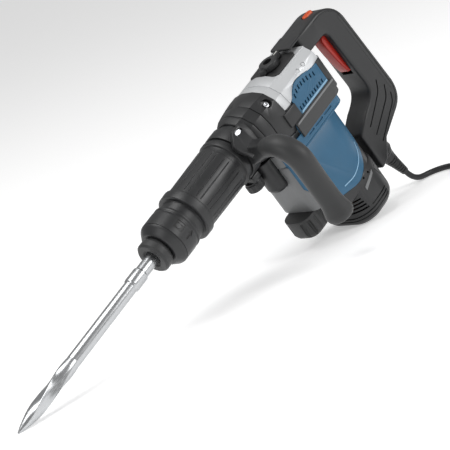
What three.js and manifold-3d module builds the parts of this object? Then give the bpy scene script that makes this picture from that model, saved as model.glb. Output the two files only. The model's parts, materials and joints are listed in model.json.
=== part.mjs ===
// Demolition hammer with a pointed chisel, modelled in millimetres.
// Tool frame: X runs back along the hammer axis, Y to the tool's right, Z up from the hammer axis.
// The whole tool is then tilted nose down, so that it stands on the chisel tip and its end cap.
import * as THREE from 'three';
import { mergeVertices } from 'three/addons/utils/BufferGeometryUtils.js';
import Module from 'manifold-3d';

const wasm = await Module();
wasm.setup();

// ---------------------------------------------------------------- driving dimensions
const GAP = 0.3;                 // air left between neighbouring pieces
const ROUND = 20;                // sides of a turned part

const TIP_X = -555;              // chisel point
const TIP_R = 0.8;
const CHISEL_END_X = -166;       // struck end of the chisel
const SHANK_R = 9;               // 18 mm shank
const COLLAR = { from: -313.5, to: -293, r: 10.5 };
const KEY_SLOT = { from: -236, to: -204, depth: 2.6, half: 3.2 };

const NOSE_X = -213;             // front end of the barrel casting
const NOSE_R = 30.9;
const FLANGE = { from: -195, to: -180, r: 36.1 };
const BARREL_RINGS_X = -106;     // where the grooved sleeve ends and the rings begin
const NECK = { from: -86, to: -52, r: 33.5 };

const HOLDER_R = 16;             // tool holder, outside, in front of the barrel
const HOLDER_BACK_R = 19;
const TUBE = { from: -134, to: -8.5, r: 23, bore: 20 };
const MOVING_R = 19.6;           // piston and striker
const CRANK_X = 12;
const CRANK_THROW = 11;
const ROD_LENGTH = 38;
const GEAR_TEETH = 40;
const PINION_TEETH = 7;
const MOTOR_X = 45;              // motor axis, 33 mm behind the crank
const MOTOR_R = 45;              // half width of the motor housing

const HOUSING_FRONT_X = -44;
const UPPER_HALF = 43.5;         // half width of the gearbox level
const GEAR_TOP = 36.5;
const BAND = { top: -22, bottom: -44.5 };
const COLLAR_Z = -57;            // underside of the motor housing's top collar
const CAP_Z = -208;              // underside of the end cap
const CAP_FRONT_X = 3;
const CAP_EDGE = 7;              // how far the end cap's bottom edge is drawn in
const COVER_BOTTOM = -133;
const FOOT_BOTTOM = -165;

const HANDLE_HALF = 19.5;
const SIDE_X = -76;              // side handle, along the barrel
const SIDE_Y = -112;             // grip centre line, to the left
const SIDE_GRIP_BOTTOM = -119;

const CORD_R = 4;

// ---------------------------------------------------------------- materials
function plain(colour, roughness, metalness = 0) {
  return new THREE.MeshStandardMaterial({ color: colour, roughness, metalness });
}
const steel = plain(0xb8bcc0, 0.28, 1);
const darkSteel = plain(0x5c5f63, 0.4, 1);
const castAlloy = plain(0xb4b7b9, 0.42, 0.7);
const coverGrey = plain(0x8d9094, 0.5, 0.4);
const charcoal = plain(0x2c2e30, 0.6);
const rubber = plain(0x3a3c3e, 0.85);
const bandGrey = plain(0x5d6165, 0.8);
const blue = plain(0x1f5f86, 0.45);
const red = plain(0xb32a1c, 0.45);
const orange = plain(0xe0571c, 0.5);
const copper = plain(0xb5683a, 0.4, 1);
const carbon = plain(0x26272a, 0.7);
const white = plain(0xd9d9d2, 0.6);
const black = plain(0x18191a, 0.6);

// ---------------------------------------------------------------- solids
// Makes a solid of a closed geometry, whichever way its faces were wound.
function solid(geometry) {
  geometry.deleteAttribute('normal');
  geometry.deleteAttribute('uv');
  const merged = mergeVertices(geometry, 1e-4);
  const at = merged.attributes.position;
  const index = merged.index.array;
  const a = new THREE.Vector3();
  const b = new THREE.Vector3();
  const c = new THREE.Vector3();
  const triangles = [];
  let volume = 0;
  for (let i = 0; i < index.length; i += 3) {
    const [p, q, r] = [index[i], index[i + 1], index[i + 2]];
    if (p === q || q === r || r === p) continue;
    triangles.push([p, q, r]);
    a.fromBufferAttribute(at, p);
    b.fromBufferAttribute(at, q);
    c.fromBufferAttribute(at, r);
    volume += a.dot(b.cross(c));
  }
  const wound = triangles.map(([p, q, r]) => (volume < 0 ? [p, r, q] : [p, q, r]));
  const vertProperties = new Float32Array(at.array);
  const triVerts = new Uint32Array(wound.flat());
  return new wasm.Manifold(new wasm.Mesh({ numProp: 3, vertProperties, triVerts }));
}

function join(first, ...others) {
  return others.reduce((body, other) => body.add(other), first);
}

function cut(first, ...others) {
  return others.reduce((body, other) => body.subtract(other), first);
}

function box(x0, x1, y0, y1, z0, z1) {
  const geometry = new THREE.BoxGeometry(x1 - x0, y1 - y0, z1 - z0);
  return solid(geometry.translate((x0 + x1) / 2, (y0 + y1) / 2, (z0 + z1) / 2));
}

// A turned body about X: the profile is a list of [x, radius].
function turnX(profile, sides = ROUND) {
  const points = profile.map(([x, r]) => new THREE.Vector2(r, x));
  return solid(new THREE.LatheGeometry(points, sides).rotateZ(-Math.PI / 2));
}

// A turned body about an upright axis at (x, y): the profile is a list of [z, radius].
function turnZ(profile, x, y = 0, sides = ROUND) {
  const points = profile.map(([z, r]) => new THREE.Vector2(r, z));
  return solid(new THREE.LatheGeometry(points, sides).rotateX(Math.PI / 2).translate(x, y, 0));
}

// A ring or tube about X or about an upright axis.
function tubeX(x0, x1, inner, outer, sides = ROUND) {
  return turnX([[x0, inner], [x0, outer], [x1, outer], [x1, inner], [x0, inner]], sides);
}

function tubeZ(z0, z1, inner, outer, x, y = 0, sides = ROUND) {
  return turnZ([[z0, inner], [z0, outer], [z1, outer], [z1, inner], [z0, inner]], x, y, sides);
}

function rodX(x0, x1, r, sides = ROUND) {
  return turnX([[x0, 0], [x0, r], [x1, r], [x1, 0]], sides);
}

function rodZ(z0, z1, r, x, y = 0, sides = ROUND) {
  return turnZ([[z0, 0], [z0, r], [z1, r], [z1, 0]], x, y, sides);
}

// A side-view outline, as [x, z] points, given a thickness from y0 to y1.
function plate(outline, y0, y1, bevel = 0) {
  const shape = new THREE.Shape(outline.map(([x, z]) => new THREE.Vector2(x, z)));
  return plateOf(shape, y0, y1, bevel);
}

function plateOf(shape, y0, y1, bevel = 0) {
  const geometry = new THREE.ExtrudeGeometry(shape, {
    depth: y1 - y0 - 2 * bevel,
    bevelEnabled: bevel > 0,
    bevelSize: bevel,
    bevelThickness: bevel,
    bevelOffset: -bevel,
    bevelSegments: 1,
    curveSegments: 6,
  });
  return solid(geometry.rotateX(Math.PI / 2).translate(0, y1 - bevel, 0));
}

// Joins rings of points, all of one length, into a closed body with flat ends.
function loft(rings) {
  const count = rings[0].length;
  const positions = rings.flat().flatMap((point) => [point.x, point.y, point.z]);
  const index = [];
  for (let k = 0; k + 1 < rings.length; k++) {
    for (let i = 0; i < count; i++) {
      const j = (i + 1) % count;
      const [a, b, c, d] = [k * count + i, k * count + j, (k + 1) * count + j, (k + 1) * count + i];
      index.push(a, b, c, a, c, d);
    }
  }
  for (const last of [false, true]) {
    const ring = last ? rings[rings.length - 1] : rings[0];
    const centre = ring.reduce((sum, point) => sum.add(point), new THREE.Vector3()).divideScalar(count);
    const hub = positions.length / 3;
    const base = last ? (rings.length - 1) * count : 0;
    positions.push(centre.x, centre.y, centre.z);
    for (let i = 0; i < count; i++) {
      const j = (i + 1) % count;
      if (last) index.push(base + i, base + j, hub);
      else index.push(base + j, base + i, hub);
    }
  }
  const geometry = new THREE.BufferGeometry();
  geometry.setAttribute('position', new THREE.Float32BufferAttribute(positions, 3));
  geometry.setIndex(index);
  return solid(geometry);
}

// Points of a rounded rectangle; each end of the first direction has its own corner radius.
function roundedOutline(u0, u1, half, radius0, radius1, steps = 4) {
  const corners = [
    [u1 - radius1, half - radius1, radius1, 0],
    [u0 + radius0, half - radius0, radius0, 1],
    [u0 + radius0, radius0 - half, radius0, 2],
    [u1 - radius1, radius1 - half, radius1, 3],
  ];
  const points = [];
  for (const [u, v, radius, quarter] of corners) {
    for (let i = 0; i <= steps; i++) {
      const angle = (quarter + i / steps) * (Math.PI / 2);
      points.push([u + radius * Math.cos(angle), v + radius * Math.sin(angle)]);
    }
  }
  return points;
}

// An upright casing: its plan runs from x0 to x1, and each level is [z, inset].
function upright(x0, x1, half, frontRadius, rearRadius, levels) {
  return loft(levels.map(([z, inset]) => roundedOutline(
    x0 + inset,
    x1 - inset,
    half - inset,
    Math.max(frontRadius - inset, 1),
    Math.max(rearRadius - inset, 1) - 1e-3,
  ).map(([x, y]) => new THREE.Vector3(x, y, z))));
}

// A casing along X: each station is [x, half width, bottom, top, bottom radius, top radius].
function lengthwise(stations) {
  return loft(stations.map(([x, half, bottom, top, bottomRadius, topRadius]) => roundedOutline(
    bottom, top, half, bottomRadius, topRadius,
  ).map(([z, y]) => new THREE.Vector3(x, y, z))));
}

// ---------------------------------------------------------------- the scene graph
const group = new THREE.Group();
const tool = new THREE.Group();
group.add(tool);

function node(name, body, material, parent = tool) {
  const mesh = body.getMesh();
  const geometry = new THREE.BufferGeometry();
  geometry.setAttribute('position', new THREE.BufferAttribute(Float32Array.from(mesh.vertProperties), 3));
  geometry.setIndex(new THREE.BufferAttribute(Uint32Array.from(mesh.triVerts), 1));
  geometry.computeVertexNormals();
  const part = new THREE.Mesh(geometry, material);
  part.name = name;
  parent.add(part);
  return part;
}

// ---------------------------------------------------------------- chisel and tool holder
function chisel() {
  const shank = turnX([
    [-441, 0], [-441, SHANK_R], [COLLAR.from - 2, SHANK_R], [COLLAR.from, COLLAR.r],
    [COLLAR.to, COLLAR.r], [COLLAR.to + 1.5, SHANK_R], [CHISEL_END_X - 2, SHANK_R],
    [CHISEL_END_X, SHANK_R - 2], [CHISEL_END_X, 0],
  ]);
  // The point is four-lobed, and its flutes wind round it as they run forward.
  const stations = [
    [TIP_X, TIP_R], [-549, 2.9], [-538, 6], [-525, 8.6], [-510, 10], [-490, 10.7],
    [-470, 10.7], [-455, 10.2], [-440.5, 8.9],
  ];
  const point = loft(stations.map(([x, radius], k) => {
    const fluted = k === 0 || k === stations.length - 1 ? 0 : 0.14;
    const ring = [];
    for (let i = 0; i < 16; i++) {
      const angle = (i / 16) * 2 * Math.PI;
      const turn = angle - (x - TIP_X) * 0.014;
      const r = radius * (1 - fluted * 0.5 * (1 - Math.cos(4 * turn)));
      ring.push(new THREE.Vector3(x, r * Math.cos(angle), r * Math.sin(angle)));
    }
    return ring;
  }));
  const floor = SHANK_R - KEY_SLOT.depth;
  const slots = [-1, 1].map((side) => box(
    KEY_SLOT.from, KEY_SLOT.to,
    Math.min(side * floor, side * 12), Math.max(side * floor, side * 12),
    -KEY_SLOT.half, KEY_SLOT.half,
  ));
  node('chisel', cut(join(shank, point), ...slots), steel);
}

function toolHolder() {
  const holder = turnX([
    [-262, 9.4], [-262, HOLDER_R - 2], [-260, HOLDER_R], [-205, HOLDER_R], [-205, HOLDER_BACK_R],
    [-136, HOLDER_BACK_R], [-136, 13.4], [CHISEL_END_X - 2, 13.4], [CHISEL_END_X - 2, 9.4], [-262, 9.4],
  ]);
  const windows = box(-235.4, -222.6, -HOLDER_R - 1, HOLDER_R + 1, -3.1, 3.1);
  node('tool_holder', cut(holder, windows), darkSteel);
  for (const [name, side] of [['locking_bar_left', -1], ['locking_bar_right', 1]]) {
    const [inner, outer] = [side * 6.9, side * 13];
    node(name, box(-235, -223, Math.min(inner, outer), Math.max(inner, outer), -2.7, 2.7), steel);
  }
  node('dust_cap', turnX([
    [-267, 9.9], [-267, 20], [-265, 22.9], [-255, 22.9], [-251, 20.5], [-251, 16.4],
    [-262.4, 16.4], [-262.4, 9.9], [-267, 9.9],
  ]), rubber);
  node('locking_sleeve', turnX([
    [-250.5, 16.5], [-250.5, 26], [-241, 33.9], [-216, 33.9], [-214, 33.1], [-211, 33.9],
    [-208, 33.2],
    [-208, 31.4], [-224, 31.4], [-224, 16.5], [-236.5, 16.5], [-236.5, 22], [-247.5, 22],
    [-247.5, 16.5], [-250.5, 16.5],
  ]), charcoal);
  node('sleeve_spring', tubeX(-223.7, -213.3, 21, 24, 20), steel);
}

function strikingTrain() {
  node('impact_bolt', turnX([
    [CHISEL_END_X + GAP, 0], [CHISEL_END_X + GAP, 8.8], [-154, 8.8], [-153, 13], [-141, 13],
    [-140, 8], [-129, 8], [-129, 0],
  ]), darkSteel);
  // Nose down, the striker lies against the impact bolt.
  node('striker', turnX([
    [-128, 0], [-128, 12], [-125, MOVING_R], [-114, MOVING_R], [-114, 18.6], [-111, 18.6],
    [-111, MOVING_R], [-94, MOVING_R], [-94, 0],
  ]), darkSteel);
  node('hammer_tube', tubeX(TUBE.from, TUBE.to, TUBE.bore, TUBE.r), steel);
  // The cup is deep enough for the rod's small end to swing and travel inside it.
  node('piston', turnX([
    [-71, 0], [-71, MOVING_R], [-66, MOVING_R], [-66, 18.6], [-63, 18.6], [-63, MOVING_R],
    [-29.5, MOVING_R], [-29.5, 16.6], [-65, 16.6], [-65, 0],
  ]), castAlloy);
  const crankPinX = CRANK_X - CRANK_THROW;
  const smallEndX = crankPinX - ROD_LENGTH;
  node('wrist_pin', rodZ(-5.5, 5.5, 2.2, smallEndX, 0, 16), steel);
  node('connecting_rod', cut(
    join(
      rodZ(-6, 6, 9, crankPinX, 0, 24),
      rodZ(-5, 5, 4, smallEndX, 0, 16),
      box(smallEndX, crankPinX, -3, 3, -4.5, 4.5),
    ),
    rodZ(-9, 9, 5.5, crankPinX, 0, 20),
    rodZ(-9, 9, 2.5, smallEndX, 0, 16),
  ), castAlloy);
}

function toothedDisc(teeth, root, tip, z0, z1, x) {
  const shape = new THREE.Shape();
  const pitch = (2 * Math.PI) / teeth;
  for (let i = 0; i < teeth; i++) {
    for (const [part, radius] of [[0, root], [0.4, tip], [0.6, tip]]) {
      const angle = (i + part) * pitch;
      const [px, py] = [radius * Math.cos(angle), radius * Math.sin(angle)];
      if (i === 0 && part === 0) shape.moveTo(px, py);
      else shape.lineTo(px, py);
    }
  }
  const geometry = new THREE.ExtrudeGeometry(shape, { depth: z1 - z0, bevelEnabled: false });
  return solid(geometry.translate(x, 0, z0));
}

function crankDrive() {
  const crankPinX = CRANK_X - CRANK_THROW;
  node('crankshaft', join(
    rodZ(-64, -9.5, 7.5, CRANK_X),
    rodZ(-20, -9.2, 18.5, CRANK_X, 0, 40),
    rodZ(-9.5, 8, 5, crankPinX, 0, 20),
  ), darkSteel);
  node('crank_gear', cut(
    toothedDisc(GEAR_TEETH, 25.4, 27.5, -44, -32, CRANK_X),
    rodZ(-50, -30, 7.5 + GAP, CRANK_X),
  ), steel);
  node('crank_bearing', tubeZ(-62, -51, 7.5 + GAP, 17, CRANK_X), darkSteel);
}

// ---------------------------------------------------------------- motor
function motor() {
  const shaft = rodZ(-186, -45, 4.5, MOTOR_X, 0, 20);
  const pinion = toothedDisc(PINION_TEETH, 3.9, 6, -46, -31, MOTOR_X);
  const core = turnZ([
    [-146, 0], [-146, 8], [-142, 15], [-134, 19], [-133, 21.4], [-87, 21.4], [-86, 19], [-80, 15],
    [-78, 8], [-78, 0],
  ], MOTOR_X);
  const commutator = rodZ(-170, -150, 13, MOTOR_X, 0, 24);
  node('armature', join(shaft, pinion, core, commutator), copper);
  const blades = [];
  for (let i = 0; i < 8; i++) {
    const blade = new THREE.BoxGeometry(24, 1.6, 7.5);
    blade.translate(20, 0, -71.2).rotateZ((i / 8) * 2 * Math.PI).translate(MOTOR_X, 0, 0);
    blades.push(solid(blade));
  }
  node('fan', join(
    tubeZ(-77, -75, 4.5 + GAP, 33, MOTOR_X),
    tubeZ(-77, -67, 4.5 + GAP, 9.5, MOTOR_X),
    ...blades,
  ), black);
  node('stator', tubeZ(-138, -82, 22.4, 37, MOTOR_X), darkSteel);
  node('armature_bearing_top', tubeZ(-62, -54, 4.5 + GAP, 11, MOTOR_X), steel);
  node('armature_bearing_bottom', tubeZ(-184, -176, 4.5 + GAP, 11, MOTOR_X), steel);
  for (const [end, side] of [['left', -1], ['right', 1]]) {
    const span = (from, to) => [Math.min(side * from, side * to), Math.max(side * from, side * to)];
    const [h0, h1] = span(15, 35);
    const [b0, b1] = span(13.4, 30);
    node(`brush_holder_${end}`, cut(
      box(MOTOR_X - 7, MOTOR_X + 7, h0, h1, -166, -154),
      box(MOTOR_X - 4.5, MOTOR_X + 4.5, ...span(14, 32), -163.5, -156.5),
    ), copper);
    node(`carbon_brush_${end}`, box(MOTOR_X - 4, MOTOR_X + 4, b0, b1, -163, -157), carbon);
  }
}

// ---------------------------------------------------------------- casings
// Side-view line between the silver gearbox casting and the blue side covers, as [x, z].
const SILVER_EDGE = [[-2, 2], [11, 1], [21, 4], [30, 10], [42, 15], [60, 13], [80, 8], [110, 11]];
// Side-view line between the blue motor housing and the black end cap.
const CAP_EDGE_LINE = [
  [-60, -128], [5, -146], [26, -151], [45, -147], [62, -134], [74, -117], [84, -103], [110, -100],
];
// Side-view outline of the grey front cover.
const COVER_AREA = [
  [-70, -38.5], [-38.5, -38.5], [-38.5, -97], [-30, -119], [-14, -124], [-22, COVER_BOTTOM],
  [-70, COVER_BOTTOM],
];

function smooth(points) {
  const curve = new THREE.SplineCurve(points.map(([x, z]) => new THREE.Vector2(x, z)));
  return curve.getPoints(points.length * 2).map((point) => [point.x, point.y]);
}

function above(line, shift, top = 100) {
  const points = smooth(line).map(([x, z]) => [x, z + shift]);
  return plate([...points, [points.at(-1)[0], top], [points[0][0], top]], -80, 80);
}

function below(line, shift, bottom = -260) {
  const points = smooth(line).map(([x, z]) => [x, z + shift]);
  return plate([...points, [points.at(-1)[0], bottom], [points[0][0], bottom]], -80, 80);
}

function barrel() {
  const body = turnX([
    [NOSE_X, HOLDER_R + 0.5], [NOSE_X, NOSE_R], [FLANGE.from, NOSE_R], [FLANGE.from, FLANGE.r - 1.5],
    [FLANGE.from + 1.5, FLANGE.r], [FLANGE.to, FLANGE.r], [FLANGE.to, 34.5], [BARREL_RINGS_X, 35.5],
    [BARREL_RINGS_X, 34.3], [-97.5, 34.3], [-97.5, 37], [-91.5, 37], [-91.5, 35], [NECK.from, 35],
    [NECK.from, NECK.r], [NECK.to, NECK.r], [NECK.to, TUBE.r + GAP], [TUBE.from - 1, TUBE.r + GAP],
    [TUBE.from - 1, HOLDER_BACK_R + 0.5], [-205.5, HOLDER_BACK_R + 0.5], [-205.5, HOLDER_R + 0.5],
    [NOSE_X, HOLDER_R + 0.5],
  ]);
  const grooves = [];
  for (let i = 0; i < 12; i++) {
    const groove = new THREE.BoxGeometry(62, 3, 3);
    groove.translate(-144, 0, 36).rotateX((i / 12) * 2 * Math.PI);
    grooves.push(solid(groove));
  }
  node('barrel_sleeve', cut(body, ...grooves), charcoal);
}

function gearHousing() {
  const shellTop = cut(
    lengthwise([[0, UPPER_HALF, -30, GEAR_TOP, 6, 34], [97, UPPER_HALF - 1, -30, GEAR_TOP, 6, 34]]),
    lengthwise([
      [-2, UPPER_HALF - 4, -34, GEAR_TOP - 4, 6, 31], [93, UPPER_HALF - 5, -34, GEAR_TOP - 4, 6, 31],
    ]),
    below(SILVER_EDGE, 0),
    box(33, 120, -27, 27, 30.5, 60),
  );
  const ledge = cut(box(32, 97, -28.5, 28.5, 26, 30.5), box(38, 90, -20, 20, 20, 40));
  const block = join(
    upright(2, 90, UPPER_HALF - 3.7, 6, 10, [[-37, 0], [12, 0]]),
    upright(-22, 20, 34, 6, 2, [[-37, 0], [8, 0]]),
    upright(-22, 82, 33, 8, 33, [[-66, 0], [-35, 0]]),
  );
  const chamber = join(
    upright(6, 86, UPPER_HALF - 7.5, 4, 8, [[-33, 0], [40, 0]]),
    upright(-18.5, 30, 30, 5, 2, [[-33, 0], [40, 0]]),
    upright(-18.5, 78, 29.5, 6, 29.5, [[-50, 0], [-30, 0]]),
  );
  const neck = tubeX(-50.5, -18, TUBE.r + GAP, 28);
  const body = cut(
    join(cut(block, chamber), neck, shellTop, ledge),
    rodX(-60, -10, TUBE.r + GAP),
    rodZ(-63, -40, 17 + GAP, CRANK_X),
    rodZ(-70, -40, 9, CRANK_X),
    rodZ(-63, -40, 11 + GAP, MOTOR_X),
    rodZ(-70, -40, 7, MOTOR_X),
  );
  node('gear_housing', body, castAlloy);
}

function hood() {
  const outer = lengthwise([
    [-58, 36.5, -36.5, 36.5, 36, 36], [-50, 38.5, -37, 38, 34, 35], [-30, 40.5, -37.6, 39, 22, 34],
    [-GAP, 43.5, -37.6, 38, 14, 33],
  ]);
  const inner = lengthwise([
    [-54, 30, -30, 30, 29, 29], [-24, 37.3, -40, 35, 10, 31], [2, 40, -40, 35, 10, 31],
  ]);
  const tabs = [-1, 1].map((side) => box(
    -6, 18, Math.min(side * 41, side * 46), Math.max(side * 41, side * 46), BAND.top + 0.4, -1,
  ));
  const shell = cut(outer, inner, rodX(-70, -40, NECK.r + 0.4));
  const screwSeats = [-1, 1].map((side) => {
    const seat = new THREE.CylinderGeometry(4.6, 4.6, 12, 16);
    return solid(seat.translate(-18, side * 42, 20));
  });
  node('neck_hood', cut(join(shell, ...tabs), ...screwSeats), charcoal);
  for (const [name, side] of [['hood_screw_left', -1], ['hood_screw_right', 1]]) {
    const head = new THREE.CylinderGeometry(4.1, 4.1, 4, 16);
    const socket = new THREE.CylinderGeometry(2.1, 2.1, 4, 6);
    node(name, cut(
      solid(head.translate(-18, side * 38.6, 20)),
      solid(socket.translate(-18, side * 41.6, 20)),
    ), darkSteel);
  }
}

function selector() {
  node('top_panel', cut(
    upright(33.5, 82.5, 26.4, 6, 6, [[30.8, 0], [33.4, 0]]),
    rodZ(28, 40, 9.4, 56),
  ), black);
  node('selector_knob', cut(
    join(
      rodZ(33.8, 43, 14, 56, 0, 28),
      rodZ(27, 34, 9, 56, 0, 24),
      upright(35, 80, 4.5, 4, 4, [[35, 0], [41.5, 0]]),
    ),
    rodZ(36, 50, 6.5, 56, 0, 20),
  ), charcoal);
}

function sideCasings() {
  const outer = upright(0.4, 102, UPPER_HALF, 3, 12, [[-37.6, 0], [30, 0]]);
  const inner = upright(-6, 98.5, UPPER_HALF - 3, 1, 9, [[-40, 0], [40, 0]]);
  const tabRoom = box(-10, 18.4, -50, 50, BAND.top, 5);
  const ring = cut(outer, inner, above(SILVER_EDGE, -0.4), tabRoom);
  const slots = [];
  for (let i = 0; i < 9; i++) {
    const x = 34 + 6 * i;
    slots.push(plate([[x, -13], [x + 3, -13], [x + 4, -5], [x + 1, -5]], -60, 60));
  }
  const covers = cut(ring, box(86, 120, -60, 60, -60, 60), ...slots);
  node('side_cover_left', cut(covers, box(-20, 120, 0, 60, -60, 60)), blue);
  node('side_cover_right', cut(covers, box(-20, 120, -60, 0, -60, 60)), blue);
  node('rear_cover', cut(ring, box(-20, 86.4, -60, 60, -60, 60)), charcoal);
  node('bumper_band', cut(
    upright(-20, 99, UPPER_HALF + 3.5, 6, 18, [
      [BAND.bottom, 1], [BAND.bottom + 1, 0], [BAND.top - 1, 0], [BAND.top, 1],
    ]),
    upright(-30, 102.3, UPPER_HALF + GAP, 3, 12, [[-37.9, 0], [0, 0]]),
    upright(-30, 94.3, UPPER_HALF + GAP, 6, 18, [[-60, 0], [-30, 0]]),
    box(-40, 6, -80, 80, -60, 0),
  ), bandGrey);
}

// The lower casing, from the collar down to the end cap, before it is divided into its pieces.
function lowerShell() {
  const rear = MOTOR_X + MOTOR_R - 2;
  const outer = join(
    upright(HOUSING_FRONT_X, 94, UPPER_HALF, 25, 18, [[COLLAR_Z, 0], [-38, 0]]),
    upright(HOUSING_FRONT_X, rear, MOTOR_R, 25, MOTOR_R, [
      [-165, 5], [-160, 1], [-156, 0], [COLLAR_Z - 4, 0], [COLLAR_Z + 1, 3],
    ]),
    upright(CAP_FRONT_X, MOTOR_X + MOTOR_R + 2, 46, 30, 46, [
      [CAP_Z, CAP_EDGE], [CAP_Z + 2, 4], [CAP_Z + 6, 1.2], [CAP_Z + 11, 0], [-150, 0], [-146, 2],
    ]),
  );
  const inner = join(
    upright(HOUSING_FRONT_X + 4, rear - 4, MOTOR_R - 4, 22, MOTOR_R - 4, [[-156, 0], [-20, 0]]),
    upright(CAP_FRONT_X + 4, MOTOR_X + MOTOR_R - 4, 42, 26, 42, [[CAP_Z + 5, 2], [-150, 0]]),
  );
  return cut(outer, inner);
}

function lowerCasings() {
  const shell = lowerShell();
  const scoop = cut(
    rodZ(-92, -38.5, 20, HOUSING_FRONT_X - 2),
    box(-80, HOUSING_FRONT_X + 1, -40, 40, -100, 0),
  );
  const bossRoom = rodZ(-88, 0, 16.5, HOUSING_FRONT_X - 2);
  const coverArea = plate(COVER_AREA, -80, 80);
  const coverGrown = plate([
    [-90, -30], [-38.1, -30], [-38.1, -96.9], [-29.7, -118.7], [-13.4, -123.8], [-21.6, -133.4],
    [-21.6, -240], [-90, -240],
  ], -80, 80);
  node('front_cover', cut(join(shell.intersect(coverArea), scoop), bossRoom), coverGrey);
  node('motor_housing', cut(shell, coverGrown, below(CAP_EDGE_LINE, 0.2), bossRoom), blue);
  const vents = [];
  for (let i = 0; i < 4; i++) {
    const z = -166 - 5.5 * i;
    vents.push(plate([[-2 + i, z], [18 + i, z - 3], [18 + i, z - 5.2], [-2 + i, z - 2.2]], -80, 80));
  }
  const seat = tubeZ(CAP_Z + 4, -175, 11 + GAP, 16, MOTOR_X);
  node('end_cap', cut(join(cut(shell, coverGrown, above(CAP_EDGE_LINE, -0.2, 200), ...vents), seat),
    box(97, 120, -40, 40, -260, -80)), charcoal);
  node('front_boss', turnZ([
    [-86, 0], [-86, 11], [-81, 15.8], [-38.3, 15.8], [-38.3, 9], [-76, 9], [-76, 0],
  ], HOUSING_FRONT_X - 2), charcoal);
  const grooves = [-150, -110, -70, 70, 110, 150].map((degrees) => {
    const angle = (degrees * Math.PI) / 180;
    return rodZ(-170, -137, 2.4, -43 + 24 * Math.cos(angle), 24.5 * Math.sin(angle), 10);
  });
  node('front_foot', cut(
    upright(-66, -22.2, 24, 18, 12, [
      [FOOT_BOTTOM, 7], [FOOT_BOTTOM + 3, 2.5], [FOOT_BOTTOM + 8, 0], [COVER_BOTTOM - GAP, 0],
    ]),
    ...grooves,
  ), rubber);
}

// ---------------------------------------------------------------- main handle
function handleOutline() {
  const shape = new THREE.Shape();
  shape.moveTo(102.4, 10);
  shape.lineTo(102.4, 39.5);
  shape.lineTo(148, 39.5);
  shape.bezierCurveTo(168, 39.5, 188, 28, 192, 6);
  shape.lineTo(199, -108);
  shape.bezierCurveTo(200, -132, 192, -144, 172, -150);
  shape.lineTo(134, -163);
  shape.lineTo(114, -184);
  shape.lineTo(97.4, -188);
  shape.lineTo(97.4, -128);
  shape.lineTo(128, -112);
  shape.bezierCurveTo(146, -106, 158, -100, 157, -84);
  shape.lineTo(152, 0);
  shape.bezierCurveTo(151, 8, 146, 10, 138, 10);
  return shape;
}

const GRIP_PAD_AREA = [[181, 12], [240, 12], [240, -122], [188, -122]];

// The cord's outlet: a point on the handle's lower leg, and the way the cord leaves.
const OUTLET = new THREE.Vector3(124, 0, -173.5);
const OUTLET_WAY = new THREE.Vector3(0.277, 0, -0.961).normalize();

// A turned body on the outlet's axis: the profile is a list of [distance, radius].
function turnOutlet(profile) {
  const points = profile.map(([s, r]) => new THREE.Vector2(r, s));
  const geometry = new THREE.LatheGeometry(points, ROUND);
  const turn = new THREE.Quaternion().setFromUnitVectors(new THREE.Vector3(0, 1, 0), OUTLET_WAY);
  return solid(geometry.applyQuaternion(turn).translate(OUTLET.x, OUTLET.y, OUTLET.z));
}

function handle() {
  const lip = upright(83, 112, HANDLE_HALF, 4, 2, [[GEAR_TOP + 0.4, 0], [38.5, 0], [39.5, 1]]);
  const boss = turnOutlet([[-14, 0], [-14, 15.5], [7.5, 15.5], [9, 14], [9, 0]]);
  const whole = join(plateOf(handleOutline(), -HANDLE_HALF, HANDLE_HALF, 3), lip, boss);
  const pad = plate(GRIP_PAD_AREA, -40, 40);
  const padRoom = plate([[180.7, 12.3], [240, 12.3], [240, -122.3], [187.7, -122.3]], -40, 40);
  const switchRoom = plate([[157, 8], [174, 16], [177, -98], [161, -92]], -14, 14);
  const controlRoom = plate([[116, -134], [158, -118], [158, -136], [116, -154]], -14, 14);
  const cableRoom = plate([[158, -95], [172, -95], [168, -130], [150, -130]], -6, 6);
  const triggerRoom = plate([[138, 11.2], [166, 11.2], [170, -66], [145, -66]], -10, 10);
  const buttonRoom = box(146, 166, -6, 6, 20, 60);
  const outletRoom = turnOutlet([[-3, 0], [-3, 9 + GAP], [20, 9 + GAP], [20, 0]]);
  const body = cut(
    whole, padRoom, switchRoom, controlRoom, cableRoom, triggerRoom, buttonRoom, outletRoom,
  );
  node('handle_left', cut(body, box(50, 250, -GAP / 2, 60, -260, 100)), charcoal);
  node('handle_right', cut(body, box(50, 250, -60, GAP / 2, -260, 100)), charcoal);
  node('grip_pad', whole.intersect(pad), rubber);
  node('trigger', plate([
    [151, 8], [145, 4], [143.5, -4], [149.5, -46], [154, -60], [159, -62], [161, -54], [158, 6],
  ], -9, 9, 1.2), red);
  node('lock_button', upright(147, 165, 5, 5, 5, [[24, 0], [39.4, 0], [40.6, 1.4]]), orange);
  node('switch_module', plate([[167, 2], [168, 8], [173.4, 8], [175.2, -58], [170, -58]], -12, 12), black);
  node('speed_controller', plate([[119, -136], [155, -122], [155, -134.6], [119, -150]], -12, 12), white);
}

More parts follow.
